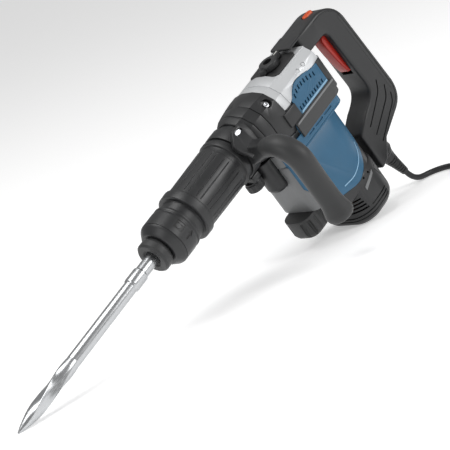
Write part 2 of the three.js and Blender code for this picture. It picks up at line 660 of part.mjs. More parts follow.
// ---------------------------------------------------------------- side handle
function sideHandle() {
  const lug = box(-84, -68, -13, 13, -45, -34);
  node('clamp_band', cut(
    join(tubeX(-85, -67, NECK.r + 0.7, 37), lug),
    rodX(-100, -50, NECK.r + 0.7),
    box(-90, -60, -1.5, 1.5, -60, -30),
    rodZ(-60, -30, 4.4, SIDE_X, 0, 16),
  ), charcoal);
  // The arm runs from the band to the left and turns down into the grip core.
  const arm = new THREE.CatmullRomCurve3([
    new THREE.Vector3(SIDE_X, -38, -1), new THREE.Vector3(SIDE_X, -62, 3),
    new THREE.Vector3(SIDE_X, -86, 5),
    new THREE.Vector3(SIDE_X, -104, -2), new THREE.Vector3(SIDE_X, SIDE_Y, -20),
    new THREE.Vector3(SIDE_X, SIDE_Y, -40),
  ]);
  const outline = roundedOutline(-9, 9, 9, 4, 4, 2).map(([u, v]) => new THREE.Vector2(u, v));
  const armBody = solid(new THREE.ExtrudeGeometry(new THREE.Shape(outline), {
    extrudePath: arm, steps: 14, bevelEnabled: false,
  }));
  const core = rodZ(-109, -38, 7, SIDE_X, SIDE_Y, 16);
  const cheek = box(-84, -68, -50, -38, -15, 14);
  node('side_handle_arm', cut(join(armBody, core, cheek), rodX(-100, -50, 37 + GAP)), charcoal);
  node('side_handle_grip', cut(
    turnZ([
      [SIDE_GRIP_BOTTOM, 0], [SIDE_GRIP_BOTTOM, 14], [SIDE_GRIP_BOTTOM + 4, 19], [-108, 20.3], [-99, 16.5],
      [-80, 16], [-50, 16.4], [-26, 16.8], [-26, 0],
    ], SIDE_X, SIDE_Y, 28),
    rodZ(-110, 0, 7 + GAP, SIDE_X, SIDE_Y, 16),
    box(SIDE_X - 14, SIDE_X + 14, SIDE_Y - 13.9, SIDE_Y + 13.9, -41, 0),
  ), rubber);
  node('clamp_bolt', rodZ(-57, -38, 3.9, SIDE_X, 0, 16), steel);
  const flutes = [];
  for (let i = 0; i < 10; i++) {
    const angle = (i / 10) * 2 * Math.PI;
    flutes.push(rodZ(-66, -44, 2.2, SIDE_X + 13.4 * Math.cos(angle), 13.4 * Math.sin(angle), 10));
  }
  node('clamp_knob', cut(
    turnZ([
      [-60, 0], [-60, 10], [-58, 12.5], [-48.6, 12.5], [-47, 11], [-45.4, 11], [-45.4, 0],
    ], SIDE_X, 0, 30),
    rodZ(-57.4, -40, 3.9 + GAP, SIDE_X, 0, 16),
    ...flutes,
  ), charcoal);
}

// ---------------------------------------------------------------- cord
const RELIEF_END = 59;
const COIL = { x: 475, y: -62, inner: 35.4, outer: 60.6, height: 38 };
const PLUG = { x: 475.5, y: -143.5, z: 18.6, pinSpread: 9.5 };
// The cord's way from the strain relief to the coil, in the frame of the floor.
const ROUTE = [
  [357.5, 42.6, 23.6], [362.2, 42.6, 17.2], [367.9, 42.6, 11.6], [374.8, 42.6, 7.4], [382.3, 42.4, 5],
  [390.2, 41.6, 4.3], [397.9, 39.5, 4.2], [405, 36, 4.2], [411, 31, 4.2], [415.8, 24.6, 4.2],
  [418.2, 17.5, 4.2], [419.2, 9, 4.2], [419.3, -3, 4.2], [419.1, -15, 4.2], [419, -29.5, 4.2],
];

function cord() {
  const relief = turnOutlet([
    [-2.7, 0], [-2.7, 9], [9.3, 9], [9.3, 13.5], [11.5, 13.5], [13, 11.8], [36, 8], [RELIEF_END, 5.6],
    [RELIEF_END, 0],
  ]);
  node('strain_relief', relief, rubber);
  const way = new THREE.CatmullRomCurve3(ROUTE.map((point) => new THREE.Vector3(...point)));
  const section = new THREE.Shape();
  section.absarc(0, 0, CORD_R, 0, 2 * Math.PI);
  const tube = new THREE.ExtrudeGeometry(section, {
    extrudePath: way, steps: 14, curveSegments: 5, bevelEnabled: false,
  });
  node('cord', solid(tube), rubber, group);
  const half = COIL.height / 2;
  const ring = turnZ([
    [-half, COIL.inner], [-half, COIL.outer], [half, COIL.outer], [half, COIL.inner], [-half, COIL.inner],
  ], 0);
  node('cord_coil', ring, rubber, group).position.set(COIL.x, COIL.y, half);
  const plug = turnX([
    [-22, 0], [-22, 5], [-6, 8], [0, 16], [22, 18.5], [30, 18.5], [30, 0],
  ], 20);
  node('plug_body', plug, rubber, group).position.set(PLUG.x, PLUG.y, PLUG.z);
  for (const [name, side] of [['plug_pin_left', -1], ['plug_pin_right', 1]]) {
    const pin = rodX(30.3, 49, 2.4, 12);
    node(name, pin, steel, group).position.set(PLUG.x, PLUG.y + side * PLUG.pinSpread, PLUG.z);
  }
}

chisel();
toolHolder();
strikingTrain();
crankDrive();
motor();
barrel();
gearHousing();
hood();
selector();
sideCasings();
lowerCasings();
handle();
sideHandle();

// ---------------------------------------------------------------- how it stands
const restTilt = Math.atan((-CAP_Z - TIP_R) / (CAP_FRONT_X + CAP_EDGE - TIP_X));
tool.rotation.y = -restTilt;
tool.updateMatrixWorld(true);
const extent = new THREE.Box3().setFromObject(tool, true);
const middle = extent.getCenter(new THREE.Vector3());
tool.position.set(-middle.x, -middle.y, -extent.min.z);

cord();

export default group;
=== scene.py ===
"""Looks of a demolition hammer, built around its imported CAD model.

Lengths are millimetres in the tool's own frame until a piece is placed: X runs back along the hammer
axis, Y to the tool's right, Z up from the hammer axis. The cord is given in metres on the floor.
"""
import json
import math

import bmesh
import bpy
from mathutils import Matrix, Vector


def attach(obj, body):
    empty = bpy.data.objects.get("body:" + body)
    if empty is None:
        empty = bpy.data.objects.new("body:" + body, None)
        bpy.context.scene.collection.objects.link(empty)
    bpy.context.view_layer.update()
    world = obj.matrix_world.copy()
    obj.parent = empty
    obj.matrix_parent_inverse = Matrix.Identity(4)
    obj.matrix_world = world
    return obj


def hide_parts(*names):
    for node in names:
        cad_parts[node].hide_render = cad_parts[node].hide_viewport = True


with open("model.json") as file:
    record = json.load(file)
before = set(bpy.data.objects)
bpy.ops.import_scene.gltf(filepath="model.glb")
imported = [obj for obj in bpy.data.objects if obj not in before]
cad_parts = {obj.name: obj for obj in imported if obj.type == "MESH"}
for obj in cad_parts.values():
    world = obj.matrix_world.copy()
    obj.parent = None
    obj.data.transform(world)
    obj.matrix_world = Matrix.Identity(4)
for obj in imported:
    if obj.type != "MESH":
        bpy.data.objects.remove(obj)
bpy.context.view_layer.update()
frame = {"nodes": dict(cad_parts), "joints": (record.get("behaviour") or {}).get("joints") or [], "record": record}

MM = 0.001
SIDE_X = -76                     # the side handle's place along the barrel
SIDE_Y = -112                    # centre line of its grip
LUG_LEAN = 30                    # degrees that the clamp's lug is turned round the barrel
MOTOR_X = 45
NECK_R = 33.5
UPPER_HALF = 43.5
GEAR_TOP = 36.5
HANDLE_HALF = 19.5
BASE_Z = -208                    # underside of the end cap
FACETS = 3                       # flats on each rounded top corner of the neck and the casting
BOSS_X = -46                     # the socket below the neck
SCREW_X = -11                    # the screws in the hood
SCREW_LEAN = 35                  # degrees that they are turned up the hood's sides
SELECTOR_X = 56
AIR = 0.3                        # left between casings that meet

joints = {joint["name"]: joint for joint in frame["joints"]}
ALONG = Vector(joints["holder_turn"]["axis"])
ACROSS = Vector((0, 1, 0))
UPWARD = Vector(joints["rotor_spin"]["axis"])
ORIGIN = Vector(joints["side_handle_swing"]["pos_m"]) - SIDE_X * MM * ALONG
TURN = Matrix((ALONG, ACROSS, UPWARD)).transposed().to_4x4()
TOOL = Matrix.Translation(ORIGIN) @ TURN @ Matrix.Scale(MM, 4)


# ---------------------------------------------------------------- camera, floor and light
def camera():
    data = bpy.data.cameras.new("camera")
    data.lens = 160
    data.sensor_width = 36
    data.clip_end = 50
    eye = bpy.data.objects.new("camera", data)
    right = Vector((0.67753, -0.65358, -0.33733))
    back = Vector((-0.61557, -0.75491, 0.22625)).normalized()
    up = back.cross(right).normalized()
    right = up.cross(back)
    eye.matrix_world = Matrix.Translation((-1.5400, -1.87405, 0.6643)) @ (
        Matrix((right, up, back)).transposed().to_4x4()
    )
    bpy.context.collection.objects.link(eye)
    bpy.context.scene.camera = eye


def area_light(name, place, target, size, power, colour=(1, 1, 1)):
    data = bpy.data.lights.new(name, "AREA")
    data.shape = "DISK"
    data.size = size
    data.energy = power
    data.color = colour
    lamp = bpy.data.objects.new(name, data)
    lamp.location = place
    lamp.rotation_euler = (Vector(target) - Vector(place)).to_track_quat("-Z", "Y").to_euler()
    bpy.context.collection.objects.link(lamp)


def studio():
    bpy.ops.mesh.primitive_plane_add(size=60, location=(0, 0, 0))
    floor = bpy.context.object
    floor.name = "floor"
    paper, _, _, shader = new_material("floor_paper")
    shader.inputs["Base Color"].default_value = (0.9, 0.9, 0.9, 1)
    shader.inputs["Roughness"].default_value = 0.9
    shader.inputs["Specular IOR Level"].default_value = 0.1
    shader.inputs["Emission Color"].default_value = (1, 1, 1, 1)
    shader.inputs["Emission Strength"].default_value = 0.36
    floor.data.materials.append(paper)
    world = bpy.data.worlds.new("studio")
    world.use_nodes = True
    background = world.node_tree.nodes["Background"]
    background.inputs["Color"].default_value = (1, 1, 1, 1)
    background.inputs["Strength"].default_value = 0.35
    bpy.context.scene.world = world
    bpy.context.scene.view_settings.view_transform = "Standard"
    area_light("overhead", (-0.5, 0.3, 2.4), (0, 0, 0), 1.8, 30)
    area_light("side", (1.1, -1.8, 1.15), (0, 0, 0.15), 1.2, 22)
    area_light("front", (-1.9, -0.1, 0.9), (0, 0, 0.15), 0.5, 7)


# ---------------------------------------------------------------- materials
def new_material(name):
    material = bpy.data.materials.new(name)
    material.use_nodes = True
    nodes = material.node_tree.nodes
    return material, nodes, material.node_tree.links, nodes["Principled BSDF"]


def noise(nodes, links, scale, detail=3, stretch=None):
    """A noise in the row frame's metres, drawn out along the tool's axis if stretch is given."""
    place = nodes.new("ShaderNodeTexCoord")
    texture = nodes.new("ShaderNodeTexNoise")
    texture.inputs["Scale"].default_value = scale
    texture.inputs["Detail"].default_value = detail
    if stretch is None:
        links.new(place.outputs["Object"], texture.inputs["Vector"])
        return texture
    mapping = nodes.new("ShaderNodeMapping")
    mapping.vector_type = "TEXTURE"
    mapping.inputs["Rotation"].default_value = TURN.to_euler()
    mapping.inputs["Scale"].default_value = stretch
    links.new(place.outputs["Object"], mapping.inputs["Vector"])
    links.new(mapping.outputs["Vector"], texture.inputs["Vector"])
    return texture


def spread(nodes, links, source, low, high):
    """The source's middle range, mapped to run from low to high."""
    span = nodes.new("ShaderNodeMapRange")
    span.inputs["From Min"].default_value = 0.35
    span.inputs["From Max"].default_value = 0.65
    span.inputs["To Min"].default_value = low
    span.inputs["To Max"].default_value = high
    links.new(source.outputs["Fac"], span.inputs["Value"])
    return span.outputs["Result"]


def tint(nodes, links, source, colour, change, shader):
    """Colour that drifts by the given share, lighter and darker."""
    mix = nodes.new("ShaderNodeMix")
    mix.data_type = "RGBA"
    mix.inputs["A"].default_value = (*[c * (1 - change) for c in colour], 1)
    mix.inputs["B"].default_value = (*[min(1, c * (1 + change)) for c in colour], 1)
    links.new(source.outputs["Fac"], mix.inputs["Factor"])
    links.new(mix.outputs["Result"], shader.inputs["Base Color"])


def bump(nodes, links, source, strength, depth, shader):
    node = nodes.new("ShaderNodeBump")
    node.inputs["Strength"].default_value = strength
    node.inputs["Distance"].default_value = depth
    links.new(source.outputs["Fac"], node.inputs["Height"])
    links.new(node.outputs["Normal"], shader.inputs["Normal"])


def moulded(name, colour, roughness, grain=1500, strength=0.25, sheen=0.0):
    """Moulded plastic or rubber with a spark-eroded grain."""
    material, nodes, links, shader = new_material(name)
    broad = noise(nodes, links, 30, 4)
    fine = noise(nodes, links, grain, 2)
    tint(nodes, links, broad, colour, 0.1, shader)
    links.new(spread(nodes, links, broad, roughness - 0.04, roughness + 0.05), shader.inputs["Roughness"])
    bump(nodes, links, fine, strength, 0.0001, shader)
    shader.inputs["Specular IOR Level"].default_value = 0.5
    shader.inputs["Sheen Weight"].default_value = sheen
    return material


def cast(name, colour, roughness, metallic):
    """Painted or blasted casting: a soft pebbled skin."""
    material, nodes, links, shader = new_material(name)
    broad = noise(nodes, links, 45, 5)
    pebbles = noise(nodes, links, 700, 3)
    tint(nodes, links, broad, colour, 0.06, shader)
    links.new(spread(nodes, links, pebbles, roughness - 0.05, roughness + 0.08), shader.inputs["Roughness"])
    bump(nodes, links, pebbles, 0.3, 0.0002, shader)
    shader.inputs["Metallic"].default_value = metallic
    return material


def ground_steel(name, colour, roughness, along_tool):
    """Steel with fine grinding marks, drawn out along the tool or round about it."""
    material, nodes, links, shader = new_material(name)
    marks = noise(nodes, links, 1600, 2, (40, 1, 1) if along_tool else (1, 6, 6))
    broad = noise(nodes, links, 60, 3, (6, 1, 1))
    tint(nodes, links, broad, colour, 0.06, shader)
    links.new(spread(nodes, links, marks, roughness - 0.05, roughness + 0.07), shader.inputs["Roughness"])
    bump(nodes, links, marks, 0.05, 0.00005, shader)
    shader.inputs["Metallic"].default_value = 1
    return material


MATERIALS = {
    "chisel_steel": ground_steel("chisel_steel", (0.5, 0.51, 0.52), 0.27, True),
    "bright_steel": ground_steel("bright_steel", (0.5, 0.51, 0.53), 0.3, False),
    "dark_steel": ground_steel("dark_steel", (0.16, 0.16, 0.17), 0.35, False),
    "cast_alloy": cast("cast_alloy", (0.56, 0.57, 0.58), 0.4, 0.3),
    "cover_grey": cast("cover_grey", (0.18, 0.184, 0.187), 0.45, 0.25),
    "charcoal_plastic": moulded("charcoal_plastic", (0.016, 0.0165, 0.0175), 0.4),
    "black_plastic": moulded("black_plastic", (0.006, 0.006, 0.0065), 0.45),
    "soft_grip": moulded("soft_grip", (0.019, 0.0195, 0.02), 0.5, 900, 0.35, 0.08),
    "band_grey": moulded("band_grey", (0.04, 0.041, 0.042), 0.5, 900, 0.3, 0.05),
    "housing_blue": moulded("housing_blue", (0.017, 0.1, 0.19), 0.4, 1800, 0.15),
    "light_blue": moulded("light_blue", (0.26, 0.45, 0.62), 0.4, 1800, 0.1),
    "trigger_red": moulded("trigger_red", (0.42, 0.016, 0.008), 0.35, 1500, 0.15),
    "button_orange": moulded("button_orange", (0.66, 0.085, 0.012), 0.42, 1200, 0.2),
    "winding_copper": ground_steel("winding_copper", (0.6, 0.28, 0.14), 0.35, False),
    "carbon": moulded("carbon", (0.02, 0.02, 0.02), 0.6),
    "module_white": moulded("module_white", (0.7, 0.7, 0.66), 0.5),
    "cord_rubber": moulded("cord_rubber", (0.012, 0.012, 0.013), 0.45, 1100, 0.25),
}


# ---------------------------------------------------------------- making meshes
def raw(points, faces):
    mesh = bpy.data.meshes.new("raw")
    mesh.from_pydata([tuple(point) for point in points], [], faces)
    body = bpy.data.objects.new("raw", mesh)
    bpy.context.collection.objects.link(body)
    return body


def facing_out(body):
    """The same body with its faces turned outwards."""
    net = bmesh.new()
    net.from_mesh(body.data)
    bmesh.ops.recalc_face_normals(net, faces=net.faces)
    net.to_mesh(body.data)
    net.free()
    return body


def applied(body):
    """The body with its modifiers made final."""
    seen = body.evaluated_get(bpy.context.evaluated_depsgraph_get())
    mesh = bpy.data.meshes.new_from_object(seen)
    body.modifiers.clear()
    body.data = mesh
    return body


def combine(body, operation, tools):
    for tool in tools:
        step = body.modifiers.new("step", "BOOLEAN")
        step.operation = operation
        step.solver = "MANIFOLD"
        step.object = tool
    applied(body)
    for tool in tools:
        bpy.data.objects.remove(tool)
    return body


def cut(body, *tools):
    return combine(body, "DIFFERENCE", tools)


def join(body, *tools):
    return combine(body, "UNION", tools)


def overlap(body, *tools):
    return combine(body, "INTERSECT", tools)


def copy(body):
    twin = bpy.data.objects.new("raw", body.data.copy())
    bpy.context.collection.objects.link(twin)
    return twin


def rounded_edges(body, width, angle=32, segments=2):
    step = body.modifiers.new("edges", "BEVEL")
    step.width = width
    step.segments = segments
    step.limit_method = "ANGLE"
    step.angle_limit = math.radians(angle)
    step.use_clamp_overlap = True
    step.miter_outer = "MITER_ARC"
    return applied(body)


def fillet(profile, radius, closed=False):
    """An open or closed outline with each corner turned into a short arc."""
    count = len(profile)
    points = [Vector(p) for p in profile]
    rounded = []
    for i, corner in enumerate(points):
        if not closed and i in (0, count - 1):
            rounded.append(corner)
            continue
        to_last = points[i - 1] - corner
        to_next = points[(i + 1) % count] - corner
        reach = min(radius, 0.45 * to_last.length, 0.45 * to_next.length)
        start = corner + to_last.normalized() * reach
        end = corner + to_next.normalized() * reach
        for t in (0, 0.25, 0.5, 0.75, 1):
            rounded.append(start * (1 - t) ** 2 + corner * 2 * t * (1 - t) + end * t * t)
    return rounded


def spin(profile, upright=False, centre=(0, 0), steps=96, radius=0.5, closed=False):
    """A turned body about X, or about an upright axis at centre. The profile is [along, radius]."""
    outline = fillet(profile, radius, closed)
    points = []
    rings = []
    for along, out in outline:
        if out < 1e-4:
            rings.append([len(points)])
            points.append(spot(along, 0, 0, upright, centre))
            continue
        rings.append(list(range(len(points), len(points) + steps)))
        for i in range(steps):
            angle = 2 * math.pi * i / steps
            points.append(spot(along, out * math.cos(angle), out * math.sin(angle), upright, centre))
    pairs = list(zip(rings, rings[1:] + rings[:1])) if closed else list(zip(rings, rings[1:]))
    faces = []
    for first, second in pairs:
        for i in range(steps):
            j = (i + 1) % steps
            loop = [first[i % len(first)], first[j % len(first)], second[j % len(second)],
                    second[i % len(second)]]
            faces.append(list(dict.fromkeys(loop)))
    return facing_out(raw(points, faces))


def spot(along, first, second, upright, centre):
    if upright:
        return Vector((centre[0] + first, centre[1] + second, along))
    return Vector((along, centre[0] + first, centre[1] + second))


def skin(rings):
    """A closed body through rings of points, all of one length."""
    count = len(rings[0])
    points = [point for ring in rings for point in ring]
    faces = []
    for k in range(len(rings) - 1):
        for i in range(count):
            j = (i + 1) % count
            faces.append([k * count + i, k * count + j, (k + 1) * count + j, (k + 1) * count + i])
    faces.append(list(range(count)))
    faces.append([len(points) - 1 - i for i in range(count)])
    return facing_out(raw(points, faces))


def rounded_outline(u0, u1, half, radius0, radius1, steps=10):
    corners = [
        (u1 - radius1, half - radius1, radius1, 0),
        (u0 + radius0, half - radius0, radius0, 1),
        (u0 + radius0, radius0 - half, radius0, 2),
        (u1 - radius1, radius1 - half, radius1, 3),
    ]
    points = []
    for u, v, radius, quarter in corners:
        for i in range(steps + 1):
            angle = (quarter + i / steps) * math.pi / 2
            points.append((u + radius * math.cos(angle), v + radius * math.sin(angle)))
    return points


def upright(x0, x1, half, front, rear, levels, steps=10):
    """A casing with its plan from x0 to x1. Each level is [z, how far it is drawn in]."""
    rings = []
    for z, inset in levels:
        plan = rounded_outline(x0 + inset, x1 - inset, half - inset, max(front - inset, 1),
                               max(rear - inset, 1) - 1e-3, steps)
        rings.append([Vector((x, y, z)) for x, y in plan])
    return skin(rings)


def lengthwise(stations, steps=10):
    """A casing along X. Each station is [x, half width, bottom, top, bottom radius, top radius]."""
    rings = []
    for x, half, bottom, top, low, high in stations:
        section = rounded_outline(bottom, top, half, low, high, steps)
        rings.append([Vector((x, y, z)) for z, y in section])
    return skin(rings)


def plate(outline, y0, y1):
    """A side-view outline of [x, z] points, given a thickness from y0 to y1."""
    return skin([[Vector((x, y, z)) for x, z in outline] for y in (y0, y1)])


def block(x0, x1, y0, y1, z0, z1):
    return plate([(x0, z0), (x1, z0), (x1, z1), (x0, z1)], y0, y1)


def curve(points, steps=8):
    """A smooth line through the points (Catmull-Rom)."""
    ends = [2 * Vector(points[0]) - Vector(points[1]), 2 * Vector(points[-1]) - Vector(points[-2])]
    knots = [ends[0], *map(Vector, points), ends[1]]
    line = []
    for a, b, c, d in zip(knots, knots[1:], knots[2:], knots[3:]):
        for i in range(steps):
            t = i / steps
            line.append(0.5 * (2 * b + (c - a) * t + (2 * a - 5 * b + 4 * c - d) * t * t
                               + (3 * b - a - 3 * c + d) * t ** 3))
    line.append(Vector(points[-1]))
    return line


def ribbon(points, width, y0, y1):
    """A strip of the given width along a side-view line, from y0 to y1: it cuts a groove."""
    line = [Vector(point) for point in points]
    left, right = [], []
    for i, point in enumerate(line):
        way = line[min(i + 1, len(line) - 1)] - line[max(i - 1, 0)]
        side = Vector((-way.y, way.x)).normalized() * (width / 2)
        left.append(point + side)
        right.append(point - side)
    return plate([tuple(p) for p in left + right[::-1]], y0, y1)


def both_sides(maker, inner, outer):
    """The same cutter on the tool's left and right, reaching from inner to outer."""
    return [maker(-outer, -inner), maker(inner, outer)]


def turned(body, degrees):
    """The body swung round the hammer axis, its left side upwards."""
    body.data.transform(Matrix.Rotation(math.radians(-degrees), 4, "X"))
    return body


def piece(body, name, material, rides, stands_for=(), place=TOOL, sharp=35):
    body.name = name
    body.data.name = name
    body.data.transform(place)
    body.data.polygons.foreach_set("use_smooth", [True] * len(body.data.polygons))
    body.data.set_sharp_from_angle(angle=math.radians(sharp))
    body.data.materials.clear()
    body.data.materials.append(MATERIALS[material])
    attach(body, rides)
    if stands_for:
        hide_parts(*stands_for)
    return body


# ---------------------------------------------------------------- cord
CORD_R = 0.004
COIL = Vector((0.475, -0.062))
ROUTE = [
    (0.3575, 0.0426, 0.0236), (0.3622, 0.0426, 0.0172), (0.3679, 0.0426, 0.0116),
    (0.3748, 0.0426, 0.0074), (0.3823, 0.0424, 0.0050), (0.3902, 0.0416, 0.0043),
    (0.3979, 0.0395, 0.0042), (0.4050, 0.0360, 0.0042), (0.4110, 0.0310, 0.0042),
    (0.4158, 0.0246, 0.0042), (0.4182, 0.0175, 0.0042), (0.4192, 0.0090, 0.0042),
    (0.4193, -0.0030, 0.0042), (0.4191, -0.0150, 0.0042), (0.4190, -0.0295, 0.0042),
    (0.4190, -0.0450, 0.0042),
]
# The coil's turns from the floor up: each is its radius and its layer.
TURNS = [
    (0.056, 0), (0.048, 0), (0.040, 0), (0.044, 1), (0.052, 1), (0.056, 2), (0.048, 2),
    (0.040, 2), (0.044, 3), (0.052, 3), (0.040, 4), (0.048, 4), (0.056, 4),
]
LAYER = 0.0074
TURN_STEPS = 48
SHIFT = 0.32                     # share of a turn in which the cord passes to the next one
LEAD = [
    (0.4190, -0.0620, 0.0338), (0.4190, -0.0800, 0.0332), (0.4190, -0.0950, 0.0312),
    (0.4190, -0.1095, 0.0282), (0.4210, -0.1211, 0.0255), (0.4290, -0.1335, 0.0222),
    (0.4400, -0.1409, 0.0196), (0.4532, -0.1435, 0.0186),
]


def ease(t):
    t = min(max(t, 0), 1)
    return t * t * (3 - 2 * t)


def coil_line():
    line = []
    for (radius, layer), following in zip(TURNS, TURNS[1:]):
        for i in range(TURN_STEPS):
            late = (i / TURN_STEPS - (1 - SHIFT)) / SHIFT
            r = radius + (following[0] - radius) * ease(late)
            z = CORD_R + 0.0002 + LAYER * (layer + (following[1] - layer) * ease(late))
            angle = math.pi + 2 * math.pi * i / TURN_STEPS
            line.append(Vector((COIL.x + r * math.cos(angle), COIL.y + r * math.sin(angle), z)))
    return line


def cord():
    line = curve(ROUTE, 5) + coil_line() + curve(LEAD, 6)
    data = bpy.data.curves.new("mains_cord", "CURVE")
    data.dimensions = "3D"
    data.bevel_depth = CORD_R
    data.bevel_resolution = 4
    data.use_fill_caps = True
    spline = data.splines.new("POLY")
    spline.points.add(len(line) - 1)
    for point, place in zip(spline.points, line):
        point.co = (*place, 1)
    spline.use_smooth = True
    lead = bpy.data.objects.new("mains_cord", data)
    bpy.context.collection.objects.link(lead)
    data.materials.append(MATERIALS["cord_rubber"])
    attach(lead, "housing")
    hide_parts("cord", "cord_coil")


# ---------------------------------------------------------------- chisel and tool holder
TIP_X = -555
POINT = [
    (TIP_X, 0.8), (-549, 2.9), (-538, 6), (-525, 8.6), (-510, 10), (-490, 10.7), (-470, 10.7),
    (-455, 10.2), (-440.5, 8.9),
]


def fluted_point():
    """The four-lobed point, whose flutes wind round it as they run forward."""
    rings = []
    for x, radius in curve(POINT, 6):
        depth = 0.3 * ease((-442 - x) / 55) * ease((x - TIP_X - 4) / 60)
        ring = []
        for i in range(120):
            angle = 2 * math.pi * i / 120
            turn = angle + (x - TIP_X) * 0.016
            r = radius * (1 - depth * abs(math.sin(2 * turn)) ** 0.7)
            ring.append(Vector((x, r * math.cos(angle), r * math.sin(angle))))
        rings.append(ring)
    return skin(rings)


def chisel():
    shank = spin([
        (-441, 0), (-441, 9), (-315.5, 9), (-313.5, 10.5), (-293, 10.5), (-291.5, 9), (-168, 9),
        (-166, 7), (-166, 0),
    ], radius=0.6)
    slots = [block(-236, -204, y, y + 4, -3.2, 3.2) for y in (-10.4, 6.4)]
    piece(cut(join(shank, fluted_point()), *slots), "pointed_chisel", "chisel_steel", "chisel",
          ["chisel"], sharp=24)


def lock_marks(outer, inner):
    """A plain arrow, and a square with a disc left in it, as cutters into the sleeve's left side."""
    arrow = plate([
        (-231, -1.6), (-223, -1.6), (-223, -4), (-216, 0), (-223, 4), (-223, 1.6), (-231, 1.6),
    ], -outer, -inner)
    square = cut(plate([(-231, -6.5), (-218, -6.5), (-218, 6.5), (-231, 6.5)], -outer, -inner),
                 side_disc(-225.6, 1, 3.4, -outer - 1, -inner + 1))
    bar = plate([(-222, -4.4), (-220, -4.4), (-220, 4.4), (-222, 4.4)], -outer - 1, -inner + 1)
    return [turned(arrow, -4), turned(cut(square, bar), 25)]


def nose():
    piece(spin([
        (-267, 13.5), (-267, 20.4), (-264.5, 22.9), (-256, 22.9), (-251, 20.5), (-251, 16.4),
        (-261, 16.4), (-261, 9.9), (-264, 9.9), (-265, 11.6),
    ], radius=0.6, closed=True), "dust_lip", "soft_grip", "holder", ["dust_cap"])
    sleeve = spin([
        (-250.5, 16.5), (-250.5, 25), (-248.5, 27.4), (-242, 32.8), (-239.5, 33.9), (-217, 33.9),
        (-214.5, 33.1), (-211, 33.9), (-208, 33.2), (-208, 31.4), (-224, 31.4), (-224, 16.5),
        (-236.5, 16.5), (-236.5, 22), (-247.5, 22), (-247.5, 16.5),
    ], radius=0.8, closed=True)
    lines = [spin([(x, 33.2), (x, 36), (x + 0.8, 36), (x + 0.8, 33.2)], radius=0, closed=True)
             for x in (-239, -213.6)]
    piece(cut(sleeve, *lines, *lock_marks(40, 32.2)), "pull_sleeve", "charcoal_plastic", "sleeve",
          ["locking_sleeve"])
    layer = spin([(-240, 31.6), (-240, 33.3), (-209, 33.3), (-209, 31.6)], radius=0, closed=True)
    piece(overlap(layer, join(*lock_marks(38, 30))), "sleeve_marks", "black_plastic", "sleeve")


def barrel_groove(degrees):
    """A thin round-bottomed groove along the slightly tapered barrel."""
    angle = math.radians(degrees)
    rings = []
    for x, radius in ((-177.5, 0.1), (-175.5, 0.9), (-111, 0.9), (-109, 0.1)):
        centre = 34.6 + (x + 180) / 74
        rings.append([Vector((x, centre * math.cos(angle) + radius * math.cos(math.pi * i / 6),
                              centre * math.sin(angle) + radius * math.sin(math.pi * i / 6)))
                      for i in range(12)])
    return skin(rings)


def barrel():
    body = spin([
        (-213, 16.5), (-213, 30.2), (-212.2, 30.9), (-195, 30.9), (-195, 34.4), (-194, 37),
        (-182, 37.4), (-180.4, 34.6), (-106, 35.5), (-105.4, 34), (-98.5, 34), (-97.5, 37),
        (-91.5, 37), (-91, 35), (-86, 35), (-86, NECK_R), (-52, NECK_R), (-52, 23.3),
        (-135, 23.3), (-135, 19.5), (-205.5, 19.5), (-205.5, 16.5),
    ], radius=0.7, closed=True, steps=128)
    ribs = [barrel_groove(30 * i + side * 5.5) for i in range(12) for side in (-1, 1)]
    piece(cut(body, *ribs), "barrel_casing", "charcoal_plastic", "housing", ["barrel_sleeve"])


# ---------------------------------------------------------------- casings
SILVER_EDGE = [(-2, 2), (11, 1), (21, 4), (30, 10), (42, 15), (60, 13), (80, 8), (110, 11)]
CAP_EDGE = [
    (-60, -128), (5, -146), (26, -151), (45, -147), (62, -134), (74, -117), (84, -103), (110, -100),
]
BAND_TOP = -22
BAND_BOTTOM = -44.5
HALVES = (("left", (-60, 0)), ("right", (0, 60)))


def above(line, shift, top=100):
    points = [(x, z + shift) for x, z in curve(line, 5)]
    return plate([*points, (points[-1][0], top), (points[0][0], top)], -80, 80)


def below(line, shift, bottom=-260):
    points = [(x, z + shift) for x, z in curve(line, 5)]
    return plate([*points, (points[-1][0], bottom), (points[0][0], bottom)], -80, 80)


def side_disc(x, z, radius, y0, y1, steps=32):
    circle = []
    for i in range(steps):
        angle = 2 * math.pi * i / steps
        circle.append((x + radius * math.cos(angle), z + radius * math.sin(angle)))
    return plate(circle, y0, y1)


def gear_housing():
    shell = cut(
        lengthwise([(0, 43.2, -30, 36.2, 6, 34), (0.8, UPPER_HALF, -30, GEAR_TOP, 6, 34),
                    (97, 42.5, -30, GEAR_TOP, 6, 34)], FACETS),
        lengthwise([(-2, 39.5, -34, 32, 6, 31), (93, 38.5, -34, 32, 6, 31)], FACETS),
        below(SILVER_EDGE, 0),
        upright(33, 120, 27, 8, 2, [(30.5, 0), (60, 0)]),
        *casting_marks(),
    )
    ledge = cut(block(32, 97, -28.5, 28.5, 26, 30.5), block(38, 90, -20, 20, 20, 40))
    inner = cut(
        join(
            upright(2, 90, 39.8, 6, 10, [(-37, 0), (12, 0)]),
            upright(-22, 20, 34, 6, 2, [(-37, 0), (8, 0)]),
            upright(-22, 82, 33, 8, 33, [(-66, 0), (-35, 0)]),
        ),
        upright(6, 86, 36, 4, 8, [(-33, 0), (40, 0)]),
        upright(-18.5, 30, 30, 5, 2, [(-33, 0), (40, 0)]),
        upright(-18.5, 78, 29.5, 6, 29.5, [(-50, 0), (-30, 0)]),
    )
    piece(join(rounded_edges(shell, 0.7, 40), ledge, inner), "gearbox_casting", "cast_alloy", "housing",
          ["gear_housing"], sharp=24)


